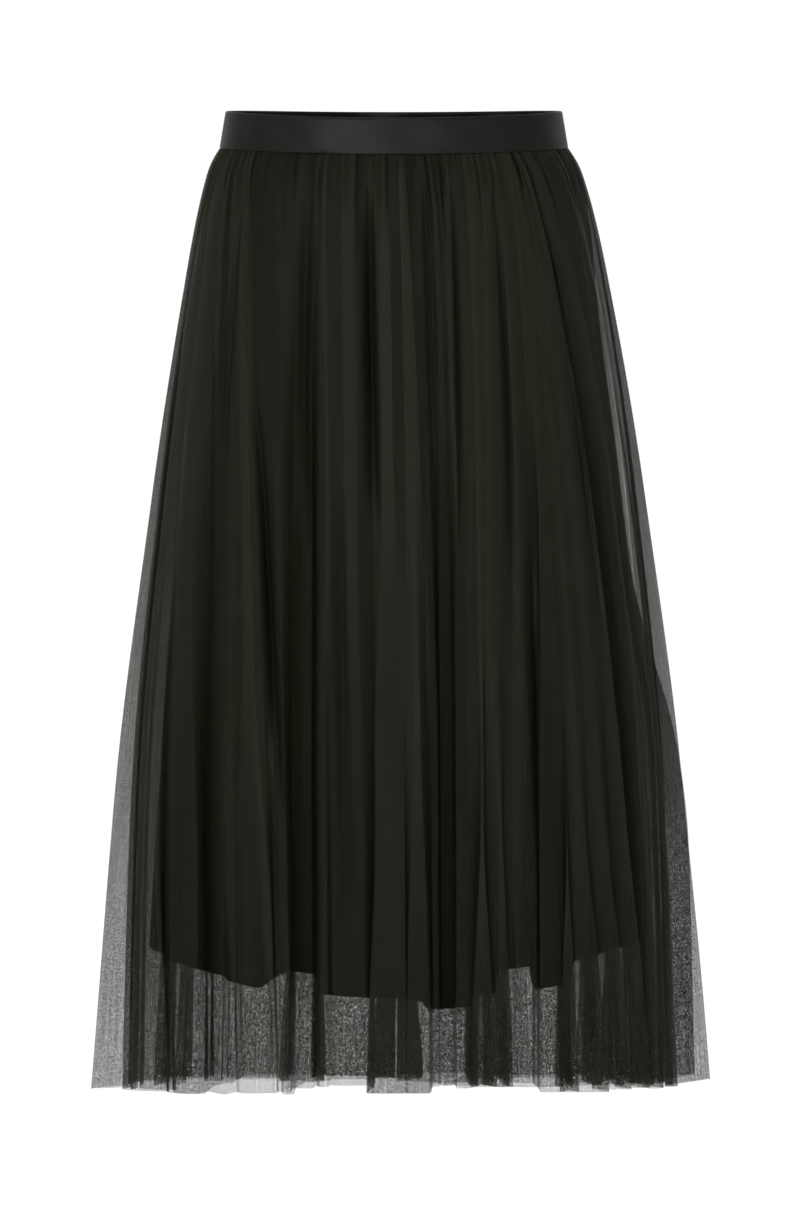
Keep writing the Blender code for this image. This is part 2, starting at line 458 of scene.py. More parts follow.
@dataclass
class ClothPanel:
    """One panel of a layer, laid out on its ellipses and turned into a mesh.

    full_length is the outer tulle's, which the flutes' levels are measured against. A fold that begins
    further down than steep_start grows more evenly than one that begins near the band.
    """

    layer: Layer
    side: Side
    pleating: Pleating
    band: BandForm
    full_length: float = 0.771
    seam_fold_share: float = 0.05
    long_fold_growth: float = 0.55
    short_fold_growth: float = 0.90
    settling: float = 2.5
    valley_lift: float = 0.001
    right_lift: float = 0.008
    # painted shade: how far the cloth must be moved in for its fold's painted shade to be full
    full_shade_inset: float = 0.016
    hem_lean: float = 0.004
    lean_settling: float = 6.0
    cloth_top: float = 0.0016
    turned_out: float = 0.32
    fold_over_start: float = 0.70
    fold_over_length: float = 0.33
    least_share: float = 0.07
    edge_softness: float = 0.20
    edge_bunching: float = 0.6
    top_bunching: float = 1.15
    solid_half_wall: float = 0.0005
    steep_start: float = 0.25
    right_flute_growth: float = 0.3
    gather_fade: float = 0.25
    tuck_levels: tuple[float, float] = (0.02, 0.64)
    tuck_angle: float = 48.0
    tuck_growth: float = 0.6
    most_fullness: float = 4.0
    side_turn: int = 4

    def _sizes(self) -> tuple[float, float]:
        """Read the hem's half width and half depth, without the side flute, from the panel's solid."""
        low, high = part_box(self.side.node(self.layer.piece))
        width = high.x - self.solid_half_wall - self.layer.side_flute
        depth = max(abs(low.y), abs(high.y)) - self.solid_half_wall - self.band.cut_gap
        return width, depth

    def _knots(self, share: np.ndarray) -> tuple[np.ndarray, np.ndarray, np.ndarray]:
        """Place the valleys and the flutes' edges at each level.

        Args:
            share: The levels, as a column of shares of the panel's length.

        Returns:
            The knots' angles in degrees, how far they are moved in and their lift, a row for each level,
            with the side seam at each end.
        """
        down = share * self.layer.side_length / self.full_length
        flutes = self.pleating
        seam, valley = flutes.column("seam"), flutes.column("valley")
        settled = (1 - np.exp(-self.settling * down)) / (1 - math.exp(-self.settling))
        valleys = seam + (valley - seam) * settled
        gaps = np.diff(valleys, axis=1)
        hem_gaps = np.diff(valley)
        left, right = flutes.column("left")[:-1] - valley[:-1], flutes.column("right")[:-1] - valley[:-1]
        left_share = np.clip(left / hem_gaps, self.least_share, 1 - 2 * self.least_share)
        right_share = np.clip(right / hem_gaps, left_share + self.least_share, 1 - self.least_share)
        begin = flutes.column("start")
        begun = np.clip((down - begin) / (1 - begin), 0.0, None)
        lean = smooth_step(down - begin[:-1], self.turned_out)
        over = smooth_step(down - self.fold_over_start, self.fold_over_length)
        lefts = valleys[:, :-1] + gaps * (1 / 3 + lean * (left_share - 1 / 3))
        lefts = lefts + over * (left - left_share * hem_gaps)
        rights = valleys[:, :-1] + gaps * (2 / 3 + lean * (right_share - 2 / 3))
        rights = rights + over * (right - right_share * hem_gaps)
        growth = begun ** np.where(begin > self.steep_start, self.short_fold_growth, self.long_fold_growth)
        folding = self.seam_fold_share + (self.layer.fold_share - self.seam_fold_share) * growth
        depths = flutes.column("depth") * folding
        lifts = flutes.column(self.layer.lift_column)
        out = flutes.column("out")
        outs = -out * self.layer.fold_share * np.where(out > 0, down**2, down)
        left_end = -self.layer.side_flute * down**2
        spread = smooth_step(down - self.layer.right_start, self.right_flute_growth)
        right_end = left_end - self.layer.right_flute * spread
        first, last = (left_end, right_end)[:: self.side.value]
        first_lift, last_lift = (0.0, self.right_lift)[:: self.side.value]
        ends = np.full_like(share, 90.0)
        level = np.ones_like(share)
        angles, insets, raised = [-ends], [first], [level * first_lift]
        for index in range(len(seam)):
            angles.append(valleys[:, index : index + 1])
            insets.append(depths[:, index : index + 1])
            raised.append(level * ((lifts[index] + lifts[max(index - 1, 0)]) / 2 + self.valley_lift))
            if index < len(seam) - 1:
                angles += [lefts[:, index : index + 1], rights[:, index : index + 1]]
                insets += [outs[:, index : index + 1]] * 2
                raised += [level * lifts[index], level * lifts[index]]
        angles.append(ends)
        insets.append(last)
        raised.append(level * last_lift)
        return np.hstack(angles), np.hstack(insets), np.hstack(raised)

    def _run(self, knots: np.ndarray, mirror: float) -> np.ndarray:
        """Run a smooth curve through each row of knots.

        Args:
            knots: The values at the knots, a row for each level.
            mirror: The value that the ends are mirrored in, or 0 where the value itself repeats.

        Returns:
            The values at the panel's columns.
        """
        before = 2 * -mirror - knots[:, 1:2] if mirror else knots[:, 1:2]
        after = 2 * mirror - knots[:, -2:-1] if mirror else knots[:, -2:-1]
        points = np.hstack([before, knots, after])
        even = np.arange(self.layer.columns_per_edge) / self.layer.columns_per_edge
        u = even - self.edge_bunching * np.sin(2 * math.pi * even) / (2 * math.pi)
        leave, arrive = self.edge_softness * u * (1 - u) ** 2, self.edge_softness * u * u * (1 - u)
        past, ahead = (1 + 2 * u) * (1 - u) ** 2, u * u * (3 - 2 * u)
        basis = np.array([-leave, past + arrive, ahead + leave, -arrive])
        spans = [points[:, i : i + 4] @ basis for i in range(knots.shape[1] - 1)]
        return np.hstack([*spans, knots[:, -1:]])

    def grid(self) -> tuple[np.ndarray, np.ndarray]:
        """Lay the panel out on its ellipses.

        Returns:
            The panel's points, as levels by columns by three, and the painted shade of each point, darker the
            deeper in a fold it lies, from 0 to 1, as levels by columns.
        """
        layer, band = self.layer, self.band
        share = (np.linspace(0.0, 1.0, layer.rows + 1) ** self.top_bunching)[:, None]
        knot_angles, knot_insets, knot_lifts = self._knots(share)
        angles = np.radians(self._run(knot_angles, 90.0))
        insets = self._run(knot_insets, 0.0)
        # painted shade: the colour is painted darker where the flutes, creases and gathers move the cloth in
        fold_shade = np.clip(insets / self.full_shade_inset, 0.0, None)
        lifts = self._run(knot_lifts, 0.0)
        seam_angles = angles[0]
        for crease in FRONT_CREASES if self.side is Side.FRONT else BACK_CREASES:
            creased = layer.gather_share * crease.field(share, np.degrees(angles))
            insets = insets + creased
            fold_shade = fold_shade + creased / self.full_shade_inset
        edge = np.cos(seam_angles) ** self.gather_fade
        # the gathers add painted shade along their small folds, by their shade
        for gathers in (FINE_GATHERS, BROAD_GATHERS):
            gathered = layer.gather_share * edge * gathers.field(share, seam_angles)
            insets = insets + gathered
            fold_shade = fold_shade + gathered * gathers.shade / gathers.height
        turn = self.side.value
        tuck_top, tuck_end = self.tuck_levels
        tuck_share = np.clip((share - tuck_top) / (tuck_end - tuck_top), 0.0, 1.0)
        tucked = smooth_step(np.sin(math.pi * tuck_share), 1.0)
        tuck_side = smooth_step(turn * angles - math.radians(self.tuck_angle), self.tuck_growth)
        insets = insets + layer.right_tuck * tucked * tuck_side
        hem_width, hem_depth = self._sizes()
        seam_width = band.half_width - band.cut_gap - layer.step_in
        seam_depth = band.half_depth - band.cut_gap - layer.step_in
        width = seam_width + (hem_width - seam_width) * layer.flare.width(share)
        depth = seam_depth + (hem_depth - seam_depth) * layer.flare.depth(share)
        across, forward = np.sin(angles), np.cos(angles)
        sideways = depth * across / np.hypot(depth * across, width * forward) * across**self.side_turn
        x = width * across - insets * sideways
        y = depth * forward - insets * np.sqrt(1 - sideways**2)
        middle = layer.middle_length + (layer.back_drop if self.side is Side.BACK else 0.0)
        length = layer.side_length + (middle - layer.side_length) * forward**2 - lifts
        z = band.bottom - band.sag * forward**2 + self.cloth_top - share * (length + self.cloth_top)
        leant = self.hem_lean * (1 - np.exp(-self.lean_settling * share))
        return np.stack([turn * x + leant, -turn * y, z], axis=-1), np.clip(fold_shade, 0.0, 1.0)

    def side_lines(self) -> list[np.ndarray]:
        """Return the lines of the two side seams, from the band down."""
        grid, _ = self.grid()
        level = np.array([1.0, 0.0, 1.0])
        return [grid[:, 0] * level, grid[:, -1] * level]

    def build(self, finish: bpy.types.Material, trims: Sequence[bpy.types.Object] = ()) -> bpy.types.Object:
        """Make the panel's mesh, with its cloth coordinates, its gathering and its folds' painted shade.

        Args:
            finish: The cloth's material.
            trims: The separate pieces sewn on it. Not used.

        Returns:
            The finished panel.
        """
        layer = self.layer
        grid, fold_shade = self.grid()
        rows, columns = grid.shape[:2]
        steps = np.linalg.norm(np.diff(grid, axis=1), axis=-1)
        around = run_up(steps[-1])
        along = run_up(np.linalg.norm(np.diff(grid, axis=0), axis=-1).mean(axis=1))
        node = self.side.node(layer.piece)
        mesh = bpy.data.meshes.new(f"{node}_cloth")
        index = np.arange(rows * columns).reshape(rows, columns)
        quads = np.stack([index[:-1, :-1], index[1:, :-1], index[1:, 1:], index[:-1, 1:]], axis=-1)
        mesh.from_pydata(grid.reshape(-1, 3), [], quads.reshape(-1, 4))
        mesh.shade_smooth()
        flat = np.stack(np.meshgrid(around, -along), axis=-1).reshape(-1, 2)
        grain = math.radians(layer.grain[0 if self.side is Side.FRONT else 1])
        turned = np.array([[math.cos(grain), math.sin(grain)], [-math.sin(grain), math.cos(grain)]])
        lay_flat(mesh, "Cloth", flat)
        lay_flat(mesh, "Net", flat @ turned)
        tight = np.array([np.interp(np.arange(columns), np.arange(columns - 1) + 0.5, row) for row in steps])
        fullness = np.clip(tight[-1] / tight, 1.0, self.most_fullness)
        # fullness is how gathered the cloth is, and the second attribute is the folds' painted shade
        for name, values in (("fullness", fullness), ("fold_shade", fold_shade)):
            mesh.attributes.new(name, "FLOAT", "POINT").data.foreach_set("value", values.ravel())
        mesh.materials.append(finish)
        panel = place(mesh.name, mesh)
        if layer.wall:
            wall = panel.modifiers.new("Wall", "SOLIDIFY")
            wall.thickness = layer.wall
            wall.offset = 0.0
        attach(panel, BODY)
        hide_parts(node)
        self.side.node("waistband")
        return panel


@dataclass
class Waistband:
    """The satin-faced band: a front and a back strip, with soft edges.

    The gathers pucker its lower edge. ripple is how far its face waves in and out at mid height, and each of
    the ripples has a share of that, its waves in an angle, its slant and its phase.
    """

    finish: bpy.types.Material
    top_half: tuple[float, float] = (0.1380, 0.0940)
    wall: float = 0.0025
    sag: float = BAND_SAG
    cut_gap: float = CUT_GAP
    edge_radius: float = 0.0011
    columns: int = 160
    face_rows: int = 14
    edge_rows: int = 5
    pucker: float = 0.0003
    pucker_fade: int = 6
    ripple: float = 0.0009
    ripples: tuple[tuple[float, float, float, float], ...] = ((1.0, 8.6, 1.6, 0.9), (0.7, 15.7, -1.4, 0.4))
    seam_height: float = 0.0045
    seam_taper: float = 0.0008

    def _profile(self, height: float) -> list[tuple[float, float]]:
        """Go round the strip's cross-section.

        Args:
            height: The strip's height.

        Returns:
            How far out from the middle of the wall and how far down from the top each point lies.
        """
        radius, half = self.edge_radius, self.wall / 2
        outer = []
        for step in range(self.face_rows + 1):
            outer.append((half, radius + (height - 2 * radius) * step / self.face_rows))
        for step in range(1, self.edge_rows):
            turn = math.pi * step / self.edge_rows
            outer.append((half * math.cos(turn), height - radius + radius * math.sin(turn)))
        return outer + [(-out, height - down) for out, down in outer]

    def strip(self, side: Side) -> bpy.types.Object:
        """Build one strip.

        Args:
            side: The half of the waist that it goes round.

        Returns:
            The finished strip.
        """
        low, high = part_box(side.node("waistband"))
        bottom_half = (high.x, max(abs(low.y), abs(high.y)) - self.cut_gap)
        height = high.z - low.z - self.sag
        profile = self._profile(height)
        angles = np.linspace(-math.pi / 2, math.pi / 2, self.columns + 1)
        gathers = FINE_GATHERS.field(np.zeros((1, 1)), angles)[0] / FINE_GATHERS.height
        points = []
        for out, down in profile:
            share = down / height
            width = self.top_half[0] + (bottom_half[0] - self.top_half[0]) * share - self.wall / 2 + out
            depth = self.top_half[1] + (bottom_half[1] - self.top_half[1]) * share - self.wall / 2 + out
            dent = self.pucker * gathers * share**self.pucker_fade * np.cos(angles) ** 0.5
            middle = 4 * share * (1 - share)
            for part, rate, slant, phase in self.ripples:
                wave = part * np.sin(rate * angles + slant * share + phase)
                dent = dent + self.ripple * wave * np.cos(angles) * middle
            x = (width - dent) * np.sin(angles)
            y = (depth - dent) * np.cos(angles)
            z = high.z - self.sag * np.cos(angles) ** 2 - down
            points.append(np.stack([side.value * x, -side.value * y, z], axis=-1))
        return self._mesh(side, np.array(points))

    def _mesh(self, side: Side, grid: np.ndarray) -> bpy.types.Object:
        """Close the strip's points into a mesh and dress it.

        Args:
            side: The half of the waist that it goes round.
            grid: Its points, as the profile's points by columns by three.

        Returns:
            The finished strip.
        """
        loops, columns = grid.shape[:2]
        index = np.arange(loops * columns).reshape(loops, columns)
        wrapped = np.vstack([index, index[:1]])
        quads = np.stack([wrapped[:-1, :-1], wrapped[1:, :-1], wrapped[1:, 1:], wrapped[:-1, 1:]], axis=-1)
        faces = quads.reshape(-1, 4).tolist()
        faces.append(index[:, 0].tolist())
        faces.append(index[::-1, -1].tolist())
        node = side.node("waistband")
        mesh = bpy.data.meshes.new(f"{node}_satin")
        mesh.from_pydata(grid.reshape(-1, 3).tolist(), [], faces)
        mesh.shade_smooth()
        around = run_up(np.linalg.norm(np.diff(grid[0], axis=0), axis=-1))
        rise = run_up(np.linalg.norm(np.diff(grid[:, 0], axis=0), axis=-1))
        lay_flat(mesh, "Cloth", np.stack(np.meshgrid(around, -rise), axis=-1).reshape(-1, 2))
        mesh.materials.append(self.finish)
        strip = place(mesh.name, mesh)
        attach(strip, BODY)
        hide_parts(node)
        return strip

    def seam_line(self, form: BandForm) -> np.ndarray:
        """Run a line round the inside of the band, just above its lower edge, for the waist seam's stitches.

        Args:
            form: The band's sizes at its lower edge.

        Returns:
            The line's points.
        """
        angles = np.linspace(0.0, 2 * math.pi, 2 * self.columns, endpoint=False)
        inward = self.wall + self.seam_taper
        x = (form.half_width - inward) * np.sin(angles)
        y = -(form.half_depth - inward) * np.cos(angles)
        z = form.bottom - form.sag * np.cos(angles) ** 2 + self.seam_height
        return np.stack([x, y, z], axis=-1)

    def build(self) -> list[bpy.types.Object]:
        """Build both strips."""
        return [self.strip(side) for side in Side]


@dataclass
class SeamStitches:
    """Straight stitches along a seam, set by a node tree on a line that follows it."""

    finish: bpy.types.Material
    spacing: float = 0.0034
    length: float = 0.0026
    thread: float = 0.0005
    unevenness: float = 0.12
    seed: int = 5
    tree: bpy.types.NodeTree = field(init=False)

    def __post_init__(self) -> None:
        """Build the node tree, which all the seams share."""
        self.tree = self._tree()

    def _tree(self) -> bpy.types.NodeTree:
        """Build the node tree that lays a small bead of thread at each stitch."""
        tree = bpy.data.node_groups.new("seam_stitches", "GeometryNodeTree")
        for label, kind in (
            ("Seam", "NodeSocketGeometry"),
            ("Spacing", "NodeSocketFloat"),
            ("Length", "NodeSocketFloat"),
            ("Thread", "NodeSocketFloat"),
            ("Unevenness", "NodeSocketFloat"),
            ("Seed", "NodeSocketInt"),
            ("Finish", "NodeSocketMaterial"),
        ):
            tree.interface.new_socket(label, in_out="INPUT", socket_type=kind)
        tree.interface.new_socket("Stitches", in_out="OUTPUT", socket_type="NodeSocketGeometry")
        graph = Graph(tree)
        start, end = graph.add("NodeGroupInput").outputs, graph.add("NodeGroupOutput")
        line = graph.add("GeometryNodeMeshToCurve", Mesh=start["Seam"])
        by_length = {"mode": "LENGTH"}
        places = graph.add(
            "GeometryNodeCurveToPoints", by_length, Curve=line.outputs["Curve"], Length=start["Spacing"]
        )
        bead = graph.add("GeometryNodeMeshUVSphere", Segments=6, Rings=4, Radius=0.5)
        chance = graph.add("FunctionNodeRandomValue", {"data_type": "FLOAT"}, Seed=start["Seed"])
        drawn = next(socket for socket in chance.outputs if socket.type == "VALUE")
        shortened = graph.math("SUBTRACT", 1.0, graph.math("MULTIPLY", drawn, start["Unevenness"]))
        size = graph.add(
            "ShaderNodeCombineXYZ",
            X=start["Thread"],
            Y=start["Thread"],
            Z=graph.math("MULTIPLY", start["Length"], shortened),
        )
        laid = graph.add(
            "GeometryNodeInstanceOnPoints",
            Points=places.outputs["Points"],
            Instance=bead.outputs["Mesh"],
            Rotation=places.outputs["Rotation"],
            Scale=size.outputs["Vector"],
        )
        solid = graph.add("GeometryNodeRealizeInstances", Geometry=laid.outputs["Instances"])
        bare = solid.outputs["Geometry"]
        dressed = graph.add("GeometryNodeSetMaterial", Geometry=bare, Material=start["Finish"])
        graph.feed(end.inputs["Stitches"], dressed.outputs["Geometry"])
        return tree

    def along(self, name: str, lines: Sequence[np.ndarray], closed: bool) -> bpy.types.Object:
        """Stitch along one or more lines.

        Args:
            name: The piece's name.
            lines: The points of each line.
            closed: Whether each line runs back to its start.

        Returns:
            The finished stitches, as one plain mesh.
        """
        points, edges = [], []
        for line in lines:
            first, count = len(points), len(line)
            points += line.tolist()
            edges += [(first + index, first + index + 1) for index in range(count - 1)]
            if closed:
                edges.append((first + count - 1, first))
        mesh = bpy.data.meshes.new(name)
        mesh.from_pydata(points, edges, [])
        seam = place(name, mesh)
        values = {
            "Spacing": self.spacing,
            "Length": self.length,
            "Thread": self.thread,
            "Unevenness": self.unevenness,
            "Seed": self.seed,
            "Finish": self.finish,
        }
        layout = seam.modifiers.new("Stitches", "NODES")
        layout.node_group = self.tree
        for socket in self.tree.interface.items_tree:
            if socket.name in values:
                layout[socket.identifier] = values[socket.name]
        bpy.context.view_layer.update()
        made = seam.evaluated_get(bpy.context.evaluated_depsgraph_get())
        seam.data = bpy.data.meshes.new_from_object(made)
        seam.modifiers.clear()
        seam.data.shade_smooth()
        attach(seam, BODY)
        return seam


# -------------------------------------------------------------------------------------------- finishes


@dataclass
class Graph:
    """A small helper that adds and links nodes in one node tree."""

    tree: bpy.types.NodeTree

    def add(self, kind: str, settings: dict[str, object] | None = None, **inputs: object) -> bpy.types.Node:
        """Add a node.

        Args:
            kind: The node's type.
            settings: Its properties.
            inputs: Its inputs by name, with _ for a space, as values or as sockets to link.

        Returns:
            The node.
        """
        node = self.tree.nodes.new(kind)
        for name, value in (settings or {}).items():
            setattr(node, name, value)
        for name, value in inputs.items():
            self.feed(node.inputs[name.replace("_", " ")], value)
        return node

    def feed(self, socket: bpy.types.NodeSocket, value: object) -> None:
        """Link a socket to another, or set its value."""
        if isinstance(value, bpy.types.NodeSocket):
            self.tree.links.new(value, socket)
        else:
            socket.default_value = value

    def fix(self, node: bpy.types.Node, **values: float | tuple[float, ...]) -> None:
        """Set a node's inputs to even values, by name, with _ for a space."""
        for name, value in values.items():
            node.inputs[name.replace("_", " ")].default_value = value

    def blend(self, share: bpy.types.NodeSocket, first: Tint, second: Tint) -> bpy.types.NodeSocket:
        """Mix two colours.

        Args:
            share: The second colour's share.
            first: The first colour, as a value or a socket.
            second: The second one.

        Returns:
            The mixed colour.
        """
        mixed = self.add("ShaderNodeMix", {"data_type": "RGBA"})
        self.feed(mixed.inputs["Factor"], share)
        for label, tint in (("A", first), ("B", second)):
            self.feed(mixed.inputs[label], (*tint, 1.0) if isinstance(tint, tuple) else tint)
        return mixed.outputs["Result"]

    def sunk(self, shade: bpy.types.NodeSocket, painted_shade_tint: Colour) -> bpy.types.NodeSocket:
        """Paint shade into a colour where the cloth lies deep in a fold.

        Args:
            shade: The cloth's colour on its faces.
            painted_shade_tint: The painted shade's colour, at the bottom of a deep fold.

        Returns:
            The colour.
        """
        fold_shade = self.add("ShaderNodeAttribute", {"attribute_name": "fold_shade"})
        return self.blend(fold_shade.outputs["Fac"], shade, painted_shade_tint)

    def math(self, operation: str, *values: object) -> bpy.types.NodeSocket:
        """Add a Math node and return its result."""
        node = self.add("ShaderNodeMath", {"operation": operation})
        for socket, value in zip(node.inputs, values):
            self.feed(socket, value)
        return node.outputs[0]


def new_group(name: str, inputs: dict[str, float | Colour], outputs: dict[str, str]) -> Graph:
    """Start a shader node group.

    Args:
        name: The group's name.
        inputs: Its inputs and their values, three numbers for a vector.
        outputs: Its outputs and their socket types.

    Returns:
        The group's graph, with its input and output nodes.
    """
    tree = bpy.data.node_groups.new(name, "ShaderNodeTree")
    for label, value in inputs.items():
        kind = "NodeSocketFloat" if isinstance(value, float) else "NodeSocketVector"
        socket = tree.interface.new_socket(label, in_out="INPUT", socket_type=kind)
        socket.default_value = value
    for label, kind in outputs.items():
        tree.interface.new_socket(label, in_out="OUTPUT", socket_type=kind)
    graph = Graph(tree)
    graph.add("NodeGroupInput")
    graph.add("NodeGroupOutput")
    return graph


def new_material(name: str) -> tuple[bpy.types.Material, Graph, bpy.types.Node]:
    """Start a material.

    Args:
        name: The material's name.

    Returns:
        The material, its graph and its Principled shader.
    """
    material = bpy.data.materials.new(name)
    material.use_nodes = True
    return material, Graph(material.node_tree), material.node_tree.nodes["Principled BSDF"]


STREAK_RATES = (420.0, 9.0, 1.0)
SLUB_RATE = 26.0


def net_group() -> bpy.types.NodeTree:
    """Make the group that knits a net: small uneven holes between threads, with faint lengthwise streaks."""
    graph = new_group(
        "Net",
        {
            "Net": (0.0, 0.0, 0.0),
            "Cloth": (0.0, 0.0, 0.0),
            "Pitch": 0.0011,
            "Thread": 0.14,
            "Softness": 0.12,
            "Unevenness": 0.80,
            "Streaks": 0.14,
        },
        {"Thread": "NodeSocketFloat"},
    )
    start, end = graph.tree.nodes["Group Input"], graph.tree.nodes["Group Output"]
    holes = graph.add(
        "ShaderNodeTexVoronoi",
        {"voronoi_dimensions": "2D", "feature": "DISTANCE_TO_EDGE"},
        Vector=start.outputs["Net"],
        Scale=graph.math("DIVIDE", 1.0, start.outputs["Pitch"]),
        Randomness=start.outputs["Unevenness"],
    )
    drawn = graph.add("ShaderNodeVectorMath", {"operation": "MULTIPLY"})
    graph.feed(drawn.inputs[0], start.outputs["Cloth"])
    graph.feed(drawn.inputs[1], STREAK_RATES)
    streak = graph.add("ShaderNodeTexNoise", Vector=drawn.outputs[0], Scale=1.0, Detail=2.0)
    swing = graph.math("SUBTRACT", streak.outputs["Fac"], 0.5)
    spread = graph.math("MULTIPLY", swing, start.outputs["Streaks"])
    width = graph.math("ADD", start.outputs["Thread"], spread)
    within = graph.math("SUBTRACT", width, holes.outputs["Distance"])
    inside = graph.math("DIVIDE", within, start.outputs["Softness"])
    covered = graph.add("ShaderNodeMath", {"operation": "ADD", "use_clamp": True})
    graph.feed(covered.inputs[0], inside)
    covered.inputs[1].default_value = 0.5
    graph.feed(end.inputs["Thread"], covered.outputs[0])
    return graph.tree


def weave_group() -> bpy.types.NodeTree:
    """Make the group that weaves a close cloth: crossing threads, with slubs and a slow change of shade."""
    graph = new_group(
        "Weave",
        {"Cloth": (0.0, 0.0, 0.0), "Threads per Metre": 3000.0, "Float": 4.0},
        {"Height": "NodeSocketFloat", "Shade": "NodeSocketFloat"},
    )
    start, end = graph.tree.nodes["Group Input"], graph.tree.nodes["Group Output"]
    split = graph.add("ShaderNodeSeparateXYZ", Vector=start.outputs["Cloth"])
    rate = graph.math("MULTIPLY", start.outputs["Threads per Metre"], math.pi)
    warp = graph.math("SINE", graph.math("MULTIPLY", split.outputs["X"], rate))
    slow = graph.math("DIVIDE", rate, start.outputs["Float"])
    weft = graph.math("SINE", graph.math("MULTIPLY", split.outputs["Y"], slow))
    noise = graph.add("ShaderNodeTexNoise", Vector=start.outputs["Cloth"], Scale=SLUB_RATE, Detail=3.0)
    crossed = graph.math("ADD", graph.math("MULTIPLY", warp, 0.5), graph.math("MULTIPLY", weft, 0.5))
    graph.feed(end.inputs["Height"], crossed)
    graph.feed(end.inputs["Shade"], noise.outputs["Fac"])
    return graph.tree


@dataclass(frozen=True)
class TulleFinish:
    """Fine net that darkens where it turns away, as at the edge of a fold, with painted shade deep in its
    folds.
    """

    colour: Colour = (0.0081, 0.0086, 0.0052)
    deep_colour: Colour = (0.0066, 0.0071, 0.0039)
    # painted shade: the colour at the bottom of a deep fold
    fold_shade_colour: Colour = (0.0024, 0.0030, 0.0003)
    pitch: float = 0.0011
    thread: float = 0.14
    gather_loss: float = 0.58
    edge_gain: float = 1.02
    edge_power: float = 5.0
    roughness: float = 0.60
    specular: float = 0.04
    mottle: float = 14.0

    def material(self, net: bpy.types.NodeTree) -> bpy.types.Material:
        """Make the material.

        Args:
            net: The net's node group.

        Returns:
            The material, whose alpha is the net.
        """
        material, graph, shader = new_material("tulle")
        cloth = graph.add("ShaderNodeUVMap", {"uv_map": "Cloth"}).outputs["UV"]
        laid = graph.add("ShaderNodeUVMap", {"uv_map": "Net"}).outputs["UV"]
        group = graph.add("ShaderNodeGroup", {"node_tree": net}, Cloth=cloth, Net=laid)
        graph.fix(group, Pitch=self.pitch, Thread=self.thread)
        open_share = graph.math("SUBTRACT", 1.0, group.outputs["Thread"])
        full = graph.add("ShaderNodeAttribute", {"attribute_name": "fullness"})
        extra = graph.math("MULTIPLY", graph.math("SUBTRACT", full.outputs["Fac"], 1.0), -self.gather_loss)
        gathered = graph.math("EXPONENT", extra)
        facing = graph.add("ShaderNodeLayerWeight", Blend=0.5).outputs["Facing"]
        turned = graph.add("ShaderNodeMath", {"operation": "MULTIPLY", "use_clamp": True})
        graph.feed(turned.inputs[0], facing)
        turned.inputs[1].default_value = self.edge_gain
        edge = graph.math("SUBTRACT", 1.0, graph.math("POWER", turned.outputs[0], self.edge_power))
        seen_through = graph.math("MULTIPLY", graph.math("MULTIPLY", open_share, gathered), edge)
        graph.feed(shader.inputs["Alpha"], graph.math("SUBTRACT", 1.0, seen_through))
        noise = graph.add("ShaderNodeTexNoise", Vector=cloth, Scale=self.mottle, Detail=2.0)
        shade = graph.blend(noise.outputs["Fac"], self.deep_colour, self.colour)
        # the base colour takes painted shade deep in the folds
        graph.feed(shader.inputs["Base Color"], graph.sunk(shade, self.fold_shade_colour))
        graph.fix(shader, Roughness=self.roughness, Specular_IOR_Level=self.specular)
        return material


@dataclass(frozen=True)
class WovenFinish:
    """A close, opaque cloth: the matt lining or the band's satin."""

    slot: Slot
    colour: Colour
    deep_colour: Colour
    threads_per_metre: float
    float_length: float
    roughness: float
    specular: float
    anisotropy: float
    relief: float
    bump: float = 0.6
    # painted shade: the colour at the bottom of a deep fold, or None for a cloth without it
    fold_shade_colour: Colour | None = None

    def material(self, weave: bpy.types.NodeTree) -> bpy.types.Material:
        """Make the material.

        Args:
            weave: The weave's node group.

        Returns:
            The material.
        """
        material, graph, shader = new_material(self.slot.value)
        cloth = graph.add("ShaderNodeUVMap", {"uv_map": "Cloth"})
        group = graph.add("ShaderNodeGroup", {"node_tree": weave}, Cloth=cloth.outputs["UV"])
        graph.fix(group, Threads_per_Metre=self.threads_per_metre, Float=self.float_length)
        colour = graph.blend(group.outputs["Shade"], self.deep_colour, self.colour)
        # painted shade deep in the folds, for a cloth that has a colour for it
        if self.fold_shade_colour:
            colour = graph.sunk(colour, self.fold_shade_colour)
        graph.feed(shader.inputs["Base Color"], colour)
        bump = graph.add("ShaderNodeBump", Height=group.outputs["Height"], Distance=self.relief)
        graph.fix(bump, Strength=self.bump)
        graph.feed(shader.inputs["Normal"], bump.outputs["Normal"])
        graph.fix(shader, Roughness=self.roughness, Specular_IOR_Level=self.specular)
        graph.fix(shader, Anisotropic=self.anisotropy)
        return material


@dataclass(frozen=True)
class ThreadFinish:
    """Twisted sewing thread."""

    colour: Colour = (0.0036, 0.0038, 0.0028)
    deep_colour: Colour = (0.0018, 0.0019, 0.0013)
    grain: float = 2400.0
    relief: float = 0.00004
    roughness: float = 0.55
    specular: float = 0.06

    def material(self) -> bpy.types.Material:
        """Make the material."""
        material, graph, shader = new_material("thread")
        spot = graph.add("ShaderNodeTexCoord").outputs["Object"]
        noise = graph.add("ShaderNodeTexNoise", Vector=spot, Scale=self.grain, Detail=2.0)
        shade = graph.blend(noise.outputs["Fac"], self.deep_colour, self.colour)
        graph.feed(shader.inputs["Base Color"], shade)
        bump = graph.add("ShaderNodeBump", Height=noise.outputs["Fac"], Distance=self.relief)
        graph.feed(shader.inputs["Normal"], bump.outputs["Normal"])
        graph.fix(shader, Roughness=self.roughness, Specular_IOR_Level=self.specular)
        return material


